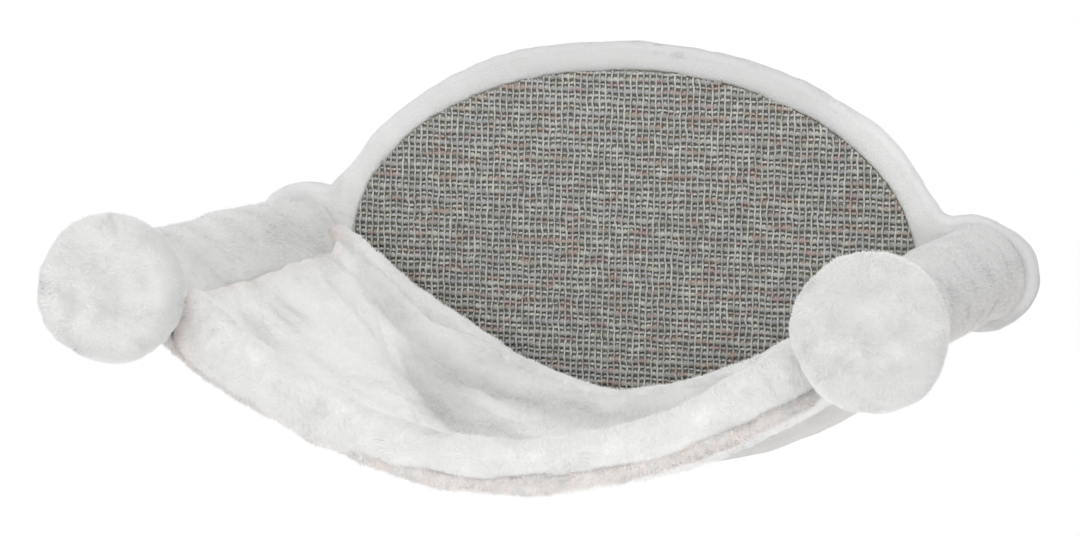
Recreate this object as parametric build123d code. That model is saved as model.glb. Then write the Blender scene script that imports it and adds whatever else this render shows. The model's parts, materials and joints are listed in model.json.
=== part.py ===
from build123d import *
import math
import os

# Wall-mounted cat hammock. Millimetres, +X to the right, +Z up, the wall is the plane Y = 0
# and the hammock stands out from it towards -Y. The origin lies in the wall plane, midway
# between the two keyhole hangers and level with the posts.
# A distance in this file is measured from the wall, forwards.

# Clearances
clearance = 0.3          # between soft pieces, and between pieces that move apart
thread_gap = 0.05        # round a threaded shank in its hole
overrun = 5.0            # how far a cutting tool runs past what it cuts

# Back board, an oval panel with a round ear at each end that carries a post
board_thickness = 12.0
board_half_width = 204.0
board_half_height = 133.0
ear_radius = 30.5
neck_radius = 16.0       # inside corner between the oval and an ear
post_overhang = 28.5     # post axis past the end of the oval

# Plush cover of the board
plush_edge = 7.0         # round the board's edge
plush_front = 5.0        # on the board's front
plush_back = 2.0         # turned over and pressed flat on the back
plush_rounding = 4.5
margin_width = 26.0      # of the part that is turned over onto the back

# Sisal scratching mat
sisal_side_inset = 11.0   # from the end of the oval
sisal_top_inset = 10.5
sisal_thickness = 3.5

# Posts, each a paper tube with a wooden plug in each end
tube_radius = 25.0
tube_wall = 4.0
tube_length = 279.7
plug_length = 25.0

# Flanged insert nuts in the plugs
insert_radius = 6.0
insert_length = 20.0
flange_radius = 10.0
flange_thickness = 1.6

# Threaded parts, all of one thread size
thread_radius = 4.0
thread_depth = 0.6
thread_pitch = 1.25

# Bolts through the board into the rear plugs
bolt_head_radius = 6.5
bolt_head_height = 3.4
bolt_length = 38.0
socket_radius = 2.9
socket_depth = 2.0
washer_radius = 9.0
washer_thickness = 1.4
counterbore_radius = 9.5
counterbore_depth = 5.0

# Studs that hold the end discs on the front plugs
stud_in_plug = 18.0
stud_in_disc = 12.0

# End discs, a wooden core in a stuffed plush cover
core_radius = 39.0
core_thickness = 15.0
disc_radius = 45.0
disc_back_plush = 7.0    # between the core and the post
disc_front_plush = 9.0
disc_crown = 3.0         # how far the middle of the front stands out
disc_front_round = 11.0
disc_back_round = 8.0

# Keyhole hangers on the back, with countersunk screws
hanger_inset = 64.0      # from the end of the oval
hanger_width = 22.0
hanger_height = 62.0
hanger_corner = 6.0
hanger_entry_radius = 4.5
hanger_slot_radius = 2.25
hanger_slot_rise = 10.0
hanger_screw_rise = 24.0
screw_radius = 1.5
screw_length = 10.0
screw_head_radius = 3.0
pocket_radius = 6.0
pocket_depth = 7.5

# Staples that hold the turned-over plush
staple_count = 40
staple_width = 12.0
staple_wire = 0.8
staple_length = 8.0
staple_ear_gap = 52.0    # no staples nearer than this to a post axis

# Sleeves of the hammock round the posts, and the seams along them
sleeve_radius = 31.5
seam_reach = 39.5        # seam line from the post axis, towards the middle
seam_level = -5.0
nose_radius = 4.5        # of the sewn edge that the sleeve runs out to
sleeve_gap = 0.5         # from a sleeve's end to the board's plush and to the disc

# Hammock, a padded sheet with a stuffed band along its back and front edges
sling_back_gap = 5.0     # from the board's plush
sling_front_gap = 1.0    # from the end discs
top_panel_thickness = 9.0
under_panel_thickness = 9.0
rear_band_depth = 20.0
front_band_depth = 26.0
band_foot_inset = 6.0    # how much narrower a band is at its foot, on each side
band_crown_share = 0.42  # rise of a band's rounded top, as a share of its depth

# How low the hammock hangs at its middle, below the post axes
top_panel_rear_sag = 90.0
top_panel_middle_sag = 99.0
top_panel_front_sag = 87.0
rear_band_sag = 85.0
front_band_sag = 81.0
under_rear_sag = 112.0
under_middle_sag = 124.0
under_front_sag = 113.5

# Where its surfaces leave the sleeves, up from the post axes and in towards the middle
rear_band_edge_level = 6.0
front_band_edge_level = -0.5
under_edge_level = -29.0
under_edge_inset = 10.5  # from the post axis
padding_inset = 2.0      # from the seam line

# Curve of the hanging cloth from an edge down to the middle, as a power of the distance
rear_band_power = 1.6
top_panel_power = 1.7
front_band_power = 1.9
under_power = 1.75

# How finely the cloth is lofted
smooth_arc_count = 6      # arcs across a smooth face
folded_arc_count = 12     # arcs across the folded face
panel_station_count = 12  # sections from back to front
band_station_count = 11   # sections from side to side

# Main folds of the top panel, as straight ridges and valleys that fade at their ends
fold_height = 5.5
fold_half_width = 17.0
fold_end_fade = 25.0
# Each row: start across and along, end across and along, and height
fold_shares = (
    (-0.95, 0.09, -0.45, 0.22, -0.8),
    (-1.00, 0.18, -0.58, 0.36, 0.9),
    (-0.97, 0.31, -0.36, 0.72, -0.8),
    (-0.90, 0.46, -0.44, 0.88, 1.0),
    (0.95, 0.12, 0.50, 0.26, -0.7),
    (0.98, 0.24, 0.46, 0.50, 0.8),
    (0.94, 0.40, 0.34, 0.84, -0.7),
    (0.92, 0.60, 0.58, 0.90, 0.7),
)

# Distances from the middle that follow from the sizes above
post_offset = board_half_width + post_overhang
sisal_half_width = board_half_width - sisal_side_inset
sisal_half_height = board_half_height - sisal_top_inset
hanger_offset = board_half_width - hanger_inset
seam_offset = post_offset - seam_reach
padding_half_width = seam_offset - padding_inset
under_edge_offset = post_offset - under_edge_inset

# Distances from the wall that follow from the sizes above
board_back = plush_back
board_front = board_back + board_thickness
cover_front = board_front + plush_front
tube_back = cover_front
tube_front = tube_back + tube_length
disc_back = tube_front + clearance
core_back = disc_back + disc_back_plush
core_front = core_back + core_thickness
disc_front = core_front + disc_front_plush
sling_back = cover_front + sling_back_gap
sling_front = disc_back - sling_front_gap
plug_radius = tube_radius - tube_wall
bolt_seat = board_back + counterbore_depth
sides = {"left": -1, "right": 1}


def slab(outline, start, end):
    """A flat outline, drawn in X and Z, thickened between two distances from the wall."""
    return extrude(Plane.XZ.offset(start) * outline, end - start)


def rod(side, radius, start, end):
    """A round bar on the axis of one post."""
    return slab(Pos(side * post_offset, 0) * Circle(radius), start, end)


def lobed_slab(grow, start, end):
    """The board's outline, an oval with two ears, grown by some amount."""
    outline = Ellipse(board_half_width + grow, board_half_height + grow)
    for side in sides.values():
        outline += Pos(side * post_offset, 0) * Circle(ear_radius + grow)
    body = slab(outline, start, end)
    corners = [e for e in body.edges().filter_by(Axis.Y) if abs(e.center().Z) > ear_radius / 4]
    return fillet(corners, neck_radius - grow)


def round_outer_edges(body, distance, radius):
    """Rounds the outline of a body where it meets the plane at one distance from the wall."""
    face = body.faces().filter_by_position(Axis.Y, -distance, -distance).sort_by(SortBy.AREA)[-1]
    return fillet(face.outer_wire().edges(), radius)


def staples():
    """Staples round the turned-over margin, each a crown flush with the wall plane and two legs."""
    ring_width = board_half_width - margin_width / 2
    ring_height = board_half_height - margin_width / 2
    made = []
    for n in range(staple_count):
        turn = 2 * math.pi * (n + 0.5) / staple_count
        x, z = ring_width * math.cos(turn), ring_height * math.sin(turn)
        if math.hypot(abs(x) - post_offset, z) < staple_ear_gap:
            continue
        along = math.degrees(math.atan2(ring_height * math.cos(turn), -ring_width * math.sin(turn)))
        flush = (Align.CENTER, Align.MAX, Align.CENTER)
        crown = Box(staple_width, staple_wire, staple_wire, align=flush)
        leg = Box(staple_wire, staple_length, staple_wire, align=flush)
        reach = (staple_width - staple_wire) / 2
        staple = crown + Pos(reach, 0, 0) * leg + Pos(-reach, 0, 0) * leg
        made.append(Pos(x, 0, z) * Rot(0, -along, 0) * staple)
    return made


def hanger_places():
    return [Pos(side * hanger_offset, 0) for side in sides.values()]


def hanger_plate(place):
    """A steel plate with a keyhole whose narrow slot runs up from the round entry."""
    plate = RectangleRounded(hanger_width, hanger_height, hanger_corner)
    plate -= Circle(hanger_entry_radius)
    plate -= Pos(0, hanger_slot_rise / 2) * Rectangle(2 * hanger_slot_radius, hanger_slot_rise)
    plate -= Pos(0, hanger_slot_rise) * Circle(hanger_slot_radius)
    body = slab(place * plate, 0, board_back)
    for screw in hanger_screws(place):
        body -= screw
    return body


def hanger_screws(place):
    """The two countersunk screws of one hanger, flush with the wall plane."""
    made = []
    for rise in (hanger_screw_rise, -hanger_screw_rise):
        spot = place * Pos(0, rise)
        shank = slab(spot * Circle(screw_radius), 0, screw_length)
        head = Plane.XZ * spot * Circle(screw_head_radius)
        tip = Plane.XZ.offset(board_back) * spot * Circle(screw_radius)
        made.append(shank + loft([head, tip], ruled=True))
    return made


def hanger_pocket(place):
    """Room in the board behind a keyhole, where the wall screw's head moves up."""
    outline = Circle(pocket_radius) + Pos(0, hanger_slot_rise) * Circle(pocket_radius)
    outline += Pos(0, hanger_slot_rise / 2) * Rectangle(2 * pocket_radius, hanger_slot_rise)
    return slab(place * outline, board_back - overrun, board_back + pocket_depth)


def back_board():
    board = lobed_slab(0, board_back, board_front)
    for side in sides.values():
        board -= rod(side, thread_radius + clearance, 0, cover_front)
        board -= rod(side, counterbore_radius, 0, bolt_seat)
    for place in hanger_places():
        board -= hanger_pocket(place)
        for screw in hanger_screws(place):
            board -= screw
    for staple in staples():
        board -= staple
    return board


def board_cover():
    """Plush round the board: a border on the front, the edge, and a margin on the back."""
    cover = lobed_slab(plush_edge, 0, cover_front)
    cover = round_outer_edges(cover, cover_front, plush_rounding)
    cover = round_outer_edges(cover, 0, plush_back)
    cover -= lobed_slab(0, board_back, board_front)
    cover -= slab(Ellipse(sisal_half_width, sisal_half_height), board_front, cover_front + overrun)
    window = Ellipse(board_half_width - margin_width, board_half_height - margin_width)
    cover -= slab(window, -overrun, board_back)
    for side in sides.values():
        cover -= rod(side, thread_radius + clearance, board_front, cover_front + overrun)
        cover -= rod(side, counterbore_radius, -overrun, board_back)
    for staple in staples():
        cover -= staple
    return cover


def sisal_mat():
    outline = Ellipse(sisal_half_width - clearance, sisal_half_height - clearance)
    return slab(outline, board_front, board_front + sisal_thickness)


def post_tube(side):
    return rod(side, tube_radius, tube_back, tube_front) - rod(side, plug_radius, tube_back, tube_front)


def insert_nut(side, face, inwards):
    """A flanged threaded insert, its flange at a plug's outer face."""
    foot = face + inwards * flange_thickness
    end = face + inwards * insert_length
    nut = rod(side, flange_radius, min(face, foot), max(face, foot))
    nut += rod(side, insert_radius, min(face, end), max(face, end))
    return nut - rod(side, thread_radius + thread_gap, min(face, end), max(face, end))


def post_plug(side, face, inwards):
    end = face + inwards * plug_length
    plug = rod(side, plug_radius, min(face, end), max(face, end))
    plug -= insert_nut(side, face, inwards)
    return plug - rod(side, thread_radius + thread_gap, min(face, end), max(face, end))


def threaded_bar(side, start, end):
    """A round bar with a ring groove at each pitch, in place of the thread's helix."""
    turns = int((end - start) / thread_pitch)
    points = [(0, start), (thread_radius, start)]
    for n in range(turns):
        root = start + (n + 0.5) * thread_pitch
        points += [(thread_radius - thread_depth, root), (thread_radius, start + (n + 1) * thread_pitch)]
    if end - points[-1][1] > thread_gap:
        points.append((thread_radius, end))
    points.append((0, points[-1][1]))
    section = make_face(Polyline(*[(x, -y) for x, y in points], close=True))
    return Pos(side * post_offset, 0, 0) * revolve(section, Axis.Y)


def post_bolt(side):
    """Socket-headed bolt that goes through washer and board into the rear insert."""
    seat = bolt_seat - washer_thickness
    bolt = rod(side, bolt_head_radius, seat - bolt_head_height, seat)
    socket = RegularPolygon(socket_radius, 6)
    head = seat - bolt_head_height
    tool = slab(Pos(side * post_offset, 0) * socket, head, head + socket_depth)
    smooth = cover_front - seat
    bolt += rod(side, thread_radius, seat, seat + smooth)
    bolt += threaded_bar(side, seat + smooth, seat + bolt_length)
    return bolt - tool


def post_washer(side):
    washer = rod(side, washer_radius, bolt_seat - washer_thickness, bolt_seat)
    return washer - rod(side, thread_radius + thread_gap, bolt_seat - washer_thickness, bolt_seat)


def disc_stud(side):
    """Double-ended stud: one end in the front insert, the other in the disc's core."""
    return threaded_bar(side, tube_front - stud_in_plug, core_back + stud_in_disc)


def disc_core(side):
    core = rod(side, core_radius, core_back, core_front)
    return core - rod(side, thread_radius + thread_gap, core_back, core_back + stud_in_disc + clearance)


def disc_cover(side):
    """Stuffed plush round the core, crowned in front and rounded at both rims."""
    front_rim = disc_front - disc_crown
    flat_front = disc_radius - disc_front_round
    flat_back = disc_radius - disc_back_round
    outline = [
        (0, disc_back),
        (flat_back, disc_back),
        (disc_radius, disc_back + disc_back_round),
        (disc_radius, front_rim - disc_front_round),
        (flat_front, front_rim),
        (0, disc_front),
    ]
    start, back_round, back_rim, side_end, front_round, middle = [Vector(x, -y) for x, y in outline]
    crown_radius = (flat_front**2 + disc_crown**2) / (2 * disc_crown)
    section = [
        Line(start, back_round),
        RadiusArc(back_round, back_rim, disc_back_round),
        Line(back_rim, side_end),
        RadiusArc(side_end, front_round, disc_front_round),
        RadiusArc(front_round, middle, crown_radius),
        Line(middle, start),
    ]
    body = revolve(make_face(section), Axis.Y)
    body = Pos(side * post_offset, 0, 0) * body
    body -= rod(side, core_radius, core_back, core_front)
    return body - rod(side, thread_radius + clearance, disc_back, core_back)


def sleeve_outline(side, grow):
    """A post's sleeve runs out to a rounded sewn edge on its inner side."""
    ring = Pos(side * post_offset, 0) * Circle(sleeve_radius + grow)
    nose = Pos(side * (seam_offset + nose_radius), seam_level) * Circle(nose_radius + grow)
    return make_hull(ring.edges() + nose.edges())


def sleeve(side):
    start, end = cover_front + sleeve_gap, disc_back - sleeve_gap
    return slab(sleeve_outline(side, 0), start, end) - rod(side, tube_radius + clearance, start, end)


def sagging(share, edge_level, sag, power):
    """Height of hanging cloth at a share of the way from its middle to its edge."""
    return edge_level - (sag + edge_level) * (1 - abs(share) ** power)


def between(share, rear, middle, front):
    """A value that runs from rear to middle to front on one smooth curve."""
    bow = 4 * share * (1 - share)
    return rear + (front - rear) * share + (middle - (rear + front) / 2) * bow


def fold_lift(across, along):
    """How far the folds lift or lower the top panel at one place."""
    lift = 0
    for start_across, start_along, end_across, end_along, height_share in fold_shares:
        start = Vector(start_across * seam_offset, start_along * (sling_front - sling_back))
        run = Vector(end_across * seam_offset, end_along * (sling_front - sling_back)) - start
        place = Vector(across * seam_offset, along * (sling_front - sling_back)) - start
        share = place.dot(run) / run.length**2
        inside = min(max(share, 0), 1)
        away = (place - run * inside).length
        reach = fold_half_width + fold_end_fade * abs(share - inside)
        lift += fold_height * height_share * math.exp(-((away / reach) ** 2))
    return lift


def top_level(x, along):
    """Height of the top panel's upper face without its folds."""
    sag = between(along, top_panel_rear_sag, top_panel_middle_sag, top_panel_front_sag)
    return sagging(x / seam_offset, seam_level, sag, top_panel_power)


def under_level(x, along):
    """Height of the underside."""
    sag = between(along, under_rear_sag, under_middle_sag, under_front_sag)
    return sagging(x / under_edge_offset, under_edge_level, sag, under_power)


def arc_chain(points):
    """Arcs through each three points in a row, end to end."""
    return [ThreePointArc(*points[n : n + 3]) for n in range(0, len(points) - 2, 2)]


def face_points(distance, half_width, arc_count, level):
    """Points across the hammock at one distance from the wall, where level gives the height."""
    along = (distance - sling_back) / (sling_front - sling_back)
    across = [half_width * (n / arc_count - 1) for n in range(2 * arc_count + 1)]
    return [Vector(x, -distance, level(x, along)) for x in across]


def cloth_layer(start, end, half_width, upper, lower, upper_arc_count=smooth_arc_count):
    """A layer lofted through sections from back to front, between two faces."""
    sections = []
    for n in range(panel_station_count):
        distance = start + (end - start) * n / (panel_station_count - 1)
        top = face_points(distance, half_width, upper_arc_count, upper)
        foot = face_points(distance, half_width, smooth_arc_count, lower)[::-1]
        edges = arc_chain(top) + [Line(top[-1], foot[0])] + arc_chain(foot) + [Line(foot[-1], top[0])]
        sections.append(Face(Wire(edges)))
    return loft(sections)


panel_back = sling_back + rear_band_depth + clearance
panel_front = sling_front - front_band_depth - clearance


def top_panel():
    def upper(x, along):
        return top_level(x, along) + fold_lift(x / seam_offset, along)

    def lower(x, along):
        return top_level(x, along) - top_panel_thickness

    return cloth_layer(panel_back, panel_front, seam_offset - clearance, upper, lower, folded_arc_count)


def padding():
    def upper(x, along):
        return top_level(x, along) - top_panel_thickness - clearance

    def lower(x, along):
        return under_level(x, along) + under_panel_thickness + clearance

    return cloth_layer(panel_back, panel_front, padding_half_width, upper, lower)


def without_sleeves(body, start, end):
    """Cuts a body of cloth back from both sleeves."""
    for side in sides.values():
        body -= slab(sleeve_outline(side, clearance), start - overrun, end + overrun)
    return body


def under_panel():
    """Underside of the hammock, from under one sleeve to under the other."""

    def upper(x, along):
        return under_level(x, along) + under_panel_thickness

    panel = cloth_layer(sling_back, sling_front, under_edge_offset, upper, under_level)
    return without_sleeves(panel, sling_back, sling_front)


def band(start, end, edge_level, sag, power, along):
    """A stuffed band along one edge, from sleeve to sleeve, with full sides and a rounded top."""
    crown = band_crown_share * (end - start)
    sections = []
    for n in range(band_station_count):
        x = under_edge_offset * (2 * n / (band_station_count - 1) - 1)
        top = sagging(min(abs(x) / seam_offset, 1), edge_level, sag, power)
        foot = under_level(x, along) + under_panel_thickness + clearance
        shoulder = top - crown
        outline = [
            (start + band_foot_inset, foot),
            (start + band_foot_inset / 4, (foot + shoulder) / 2),
            (start, shoulder),
            ((start + end) / 2, top),
            (end, shoulder),
            (end - band_foot_inset / 4, (foot + shoulder) / 2),
            (end - band_foot_inset, foot),
        ]
        points = [Vector(x, -distance, level) for distance, level in outline]
        sections.append(Face(Wire(arc_chain(points) + [Line(points[-1], points[0])])))
    return without_sleeves(loft(sections), start, end)


def rear_band():
    end = sling_back + rear_band_depth
    return band(sling_back, end, rear_band_edge_level, rear_band_sag, rear_band_power, 0)


def front_band():
    start = sling_front - front_band_depth
    return band(start, sling_front, front_band_edge_level, front_band_sag, front_band_power, 1)


def make_parts():
    """Every sub-part by its name."""
    made = {
        "back_board": back_board(),
        "board_cover": board_cover(),
        "sisal_mat": sisal_mat(),
        "cover_staples": Compound(children=staples()),
        "hanger_screws": Compound(children=[s for place in hanger_places() for s in hanger_screws(place)]),
        "hammock_top_panel": top_panel(),
        "hammock_padding": padding(),
        "hammock_under_panel": under_panel(),
        "hammock_rear_band": rear_band(),
        "hammock_front_band": front_band(),
    }
    for name, side in sides.items():
        made[f"{name}_hanger_plate"] = hanger_plate(Pos(side * hanger_offset, 0))
        made[f"{name}_post_tube"] = post_tube(side)
        made[f"{name}_rear_plug"] = post_plug(side, tube_back, 1)
        made[f"{name}_front_plug"] = post_plug(side, tube_front, -1)
        made[f"{name}_rear_insert"] = insert_nut(side, tube_back, 1)
        made[f"{name}_front_insert"] = insert_nut(side, tube_front, -1)
        made[f"{name}_post_bolt"] = post_bolt(side)
        made[f"{name}_post_washer"] = post_washer(side)
        made[f"{name}_disc_stud"] = disc_stud(side)
        made[f"{name}_disc_core"] = disc_core(side)
        made[f"{name}_disc_cover"] = disc_cover(side)
        made[f"{name}_post_sleeve"] = sleeve(side)
    return made


os.makedirs("parts", exist_ok=True)
for node, shape in make_parts().items():
    export_step(shape, f"parts/{node}.step")
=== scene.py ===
import json
import math

import bpy
import numpy as np
from mathutils import Matrix, Vector


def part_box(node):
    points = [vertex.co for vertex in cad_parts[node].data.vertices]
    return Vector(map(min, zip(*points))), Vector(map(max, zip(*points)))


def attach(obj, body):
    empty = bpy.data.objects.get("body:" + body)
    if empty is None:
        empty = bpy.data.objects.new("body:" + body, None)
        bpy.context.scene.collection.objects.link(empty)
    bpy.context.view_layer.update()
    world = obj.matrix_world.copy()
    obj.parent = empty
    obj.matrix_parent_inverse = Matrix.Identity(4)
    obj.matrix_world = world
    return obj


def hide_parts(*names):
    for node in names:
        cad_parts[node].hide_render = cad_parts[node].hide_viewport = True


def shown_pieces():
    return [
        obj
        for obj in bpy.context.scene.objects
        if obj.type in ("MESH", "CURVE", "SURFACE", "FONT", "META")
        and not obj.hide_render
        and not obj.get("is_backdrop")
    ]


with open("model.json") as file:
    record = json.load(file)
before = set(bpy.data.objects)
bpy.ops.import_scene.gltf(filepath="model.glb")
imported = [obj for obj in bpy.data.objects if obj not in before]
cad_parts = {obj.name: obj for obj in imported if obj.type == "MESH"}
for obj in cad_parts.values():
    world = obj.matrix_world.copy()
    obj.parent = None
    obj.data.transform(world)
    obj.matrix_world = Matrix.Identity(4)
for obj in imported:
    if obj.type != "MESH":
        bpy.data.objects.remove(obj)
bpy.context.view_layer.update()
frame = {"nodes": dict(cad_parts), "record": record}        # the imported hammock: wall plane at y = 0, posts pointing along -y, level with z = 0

mm = 0.001
nodes = frame["nodes"]
sides = {"left": -1, "right": 1}
print("frame loaded,", len(nodes), "nodes")

# Places that every piece shares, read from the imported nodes
tubeLow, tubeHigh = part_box("right_post_tube")
postOffset = (tubeLow.x + tubeHigh.x) / 2
sleeveLow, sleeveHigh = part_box("right_post_sleeve")
sleeveBack, sleeveFront, seamOffset = -sleeveHigh.y, -sleeveLow.y, sleeveLow.x


# Whole-array geometry

def soft(places, length, seed, waves=14):
    # soft bumps from about -1 to 1: sines along random directions, roughly length apart, added up
    rng = np.random.default_rng(seed)
    ways = rng.normal(size=(waves, 3))
    ways /= np.linalg.norm(ways, axis=1, keepdims=True)
    ways *= 2 * np.pi / length * rng.uniform(0.6, 1.5, (waves, 1))
    phases = rng.uniform(0, 2 * np.pi, waves)
    return np.sin(places @ ways.T + phases).sum(-1) * (1.1 / waves**0.5)


def bell(away, spread):
    # a bell curve: 1 where away is 0, about a third at spread and next to nothing at twice that
    return np.exp(-((away / spread) ** 2))


def ramp(value, start, length):
    # 0 up to start, then rising evenly to 1 over length
    return np.clip((value - start) / length, 0, 1)


def eased(share):
    # from 0 to 1 with a soft start and end: three squares less two cubes
    share = np.clip(share, 0, 1)
    return share**2 * (3 - 2 * share)


def bent(value, power):
    # a power of a sine or cosine that keeps its sign, which makes a circle a superellipse
    return np.sign(value) * np.abs(value) ** power


def fullTurn(count):
    # angles round a circle, as one row
    return np.linspace(0, 2 * np.pi, count, endpoint=False)[None, :]


def placed(*coordinates):
    # places from their x, y and z, or from just two of them, each an array or one number for all
    return np.stack(np.broadcast_arrays(*coordinates), -1)


def perPoint(values, grid):
    # one number or an array as a flat row with a number for each point of the grid
    return np.broadcast_to(values, grid.shape[:2]).ravel()


def unit(vectors):
    # the same directions at a length of 1
    return vectors / np.maximum(np.linalg.norm(vectors, axis=-1, keepdims=True), 1e-12)


def aroundPost(sign, radius, turn, distance):
    # places at a radius and turn round the axis of the post on that side, and at a distance from the wall
    return placed(sign * postOffset + radius * np.cos(turn), -distance, radius * np.sin(turn))


def added(name, data):
    # a new object in the scene, at the origin
    thing = bpy.data.objects.new(name, data)
    bpy.context.scene.collection.objects.link(thing)
    return thing


def newPiece(name, places, quads, tris=(), spots=None):
    # a mesh object at the origin from corner places and face indices, filled in with foreach_set.
    # Spots is the piece's flat map, a pair for each corner of each face
    mesh = bpy.data.meshes.new(name)
    places = np.asarray(places, np.float32).reshape(-1, 3)
    quads = np.asarray(quads, np.int32).reshape(-1, 4)
    tris = np.asarray(tris, np.int32).reshape(-1, 3)
    sizes = np.concatenate([np.full(len(quads), 4), np.full(len(tris), 3)]).astype(np.int32)
    mesh.vertices.add(len(places))
    mesh.vertices.foreach_set("co", places.ravel())
    mesh.loops.add(int(sizes.sum()))
    mesh.loops.foreach_set("vertex_index", np.concatenate([quads.ravel(), tris.ravel()]))
    mesh.polygons.add(len(sizes))
    mesh.polygons.foreach_set("loop_start", (np.cumsum(sizes) - sizes).astype(np.int32))
    if spots is not None:
        flatMap = mesh.uv_layers.new(name="OFBake")
        flatMap.data.foreach_set("uv", np.asarray(spots, np.float32).ravel())
    mesh.update(calc_edges=True)
    mesh.shade_smooth()
    return added(name, mesh)


def addValues(piece, name, values, kind="FLOAT", field="value"):
    # one number, or vector, per corner point of the piece, for its material to read
    layer = piece.data.attributes.new(name, kind, "POINT")
    layer.data.foreach_set(field, np.asarray(values, np.float32).ravel())


def gridFaces(rows, columns, ring=False, first=0):
    # faces between neighbouring rows of points that count from first. The columns close on
    # themselves, and the rows do too where ring is true
    index = np.arange(rows * columns).reshape(rows, columns) + first
    index = np.hstack([index, index[:, :1]])
    if ring:
        index = np.vstack([index, index[:1]])
    return np.stack([index[:-1, :-1], index[:-1, 1:], index[1:, 1:], index[1:, :-1]], -1).reshape(-1, 4)


def fanFaces(rows, columns, first=0):
    # triangles that close both ends of such a grid, each round a point that follows the grid's own
    start, middle = first + np.arange(columns), first + rows * columns
    end = start + (rows - 1) * columns
    return np.vstack([np.stack([np.roll(start, -1), start, np.full(columns, middle)], 1),
                      np.stack([end, np.roll(end, -1), np.full(columns, middle + 1)], 1)])


# Share of the flat map's height that is left at both ends, for the fans
mapMargin = 0.03


def mapSpots(row, column, grid):
    # places on the flat map: round the piece from left to right, along it from bottom to top
    rows, columns = grid.shape[:2]
    return placed(column / columns, mapMargin + (1 - 2 * mapMargin) * row / rows)


def skin(name, grid, ring=False):
    # a closed surface from a grid of places whose columns run round it. A fan closes each end, but
    # where ring is true the rows close on themselves
    rows, columns = grid.shape[:2]
    row, column = np.meshgrid(np.arange(rows if ring else rows - 1), np.arange(columns), indexing="ij")
    corners = row.reshape(-1, 1) + [0, 0, 1, 1], column.reshape(-1, 1) + [0, 1, 1, 0]
    spots = mapSpots(*corners, grid).reshape(-1, 2)
    places, quads, tris = grid.reshape(-1, 3), gridFaces(rows, columns, ring), ()
    if not ring:
        tris = fanFaces(rows, columns)
        places = np.vstack([places, grid[0].mean(0), grid[-1].mean(0)])
        left, step = np.arange(columns) / columns, 1 / columns
        for first, second, edge, tip in ((step, 0, 0.02, 0.01), (0, step, 0.97, 0.99)):
            fan = np.broadcast_arrays(left + first, edge, left + second, edge, left + step / 2, tip)
            spots = np.vstack([spots, np.stack(fan, 1).reshape(-1, 2)])
    return newPiece(name, places, quads, tris, spots)


def gridNormals(grid, ring=False):
    # cross product of the steps along the rows and round the columns, turned outwards
    around = np.roll(grid, -1, 1) - np.roll(grid, 1, 1)
    along = np.roll(grid, -1, 0) - np.roll(grid, 1, 0) if ring else np.gradient(grid, axis=0)
    return unit(np.cross(around, along))


def puffed(grid, normals, lumps, seed):
    # moves a surface in and out along its normals by soft bumps, given as (height, length) pairs
    for n, (height, length) in enumerate(lumps):
        grid = grid + normals * (height * soft(grid, length, seed + n))[..., None]
    return grid


# How the pile grows. Lean is the angle away from upright, and stray the share of hairs that stand
# up more, by strayTilt. Ripples go over the cloth in tufts, and a pair is a range that each hair
# draws from. Glint, ruffle and risen turn the light that the hairs take
plain = dict(length=3.2 * mm, width=0.5 * mm, swirl=45 * mm, comb=(0, 1.6, -0.4), wander=0.6, mess=0.25,
             lean=1.4, leanRipple=0.05, leanSpread=0.04, leanLimits=(0.3, 1.47), stray=0.16,
             strayTilt=(0.2, 0.75), strayLength=0.8, strayWidth=0.7, tuft=8 * mm, lengthRipple=0.18,
             lengthSpread=(0.65, 1.2), widthSpread=(0.7, 1.3), twist=0.14, glint=0.35, ruffle=0.13,
             risen=(0, -1, 0.45), strayRise=0.3, wallGap=0.1 * mm)


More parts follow.
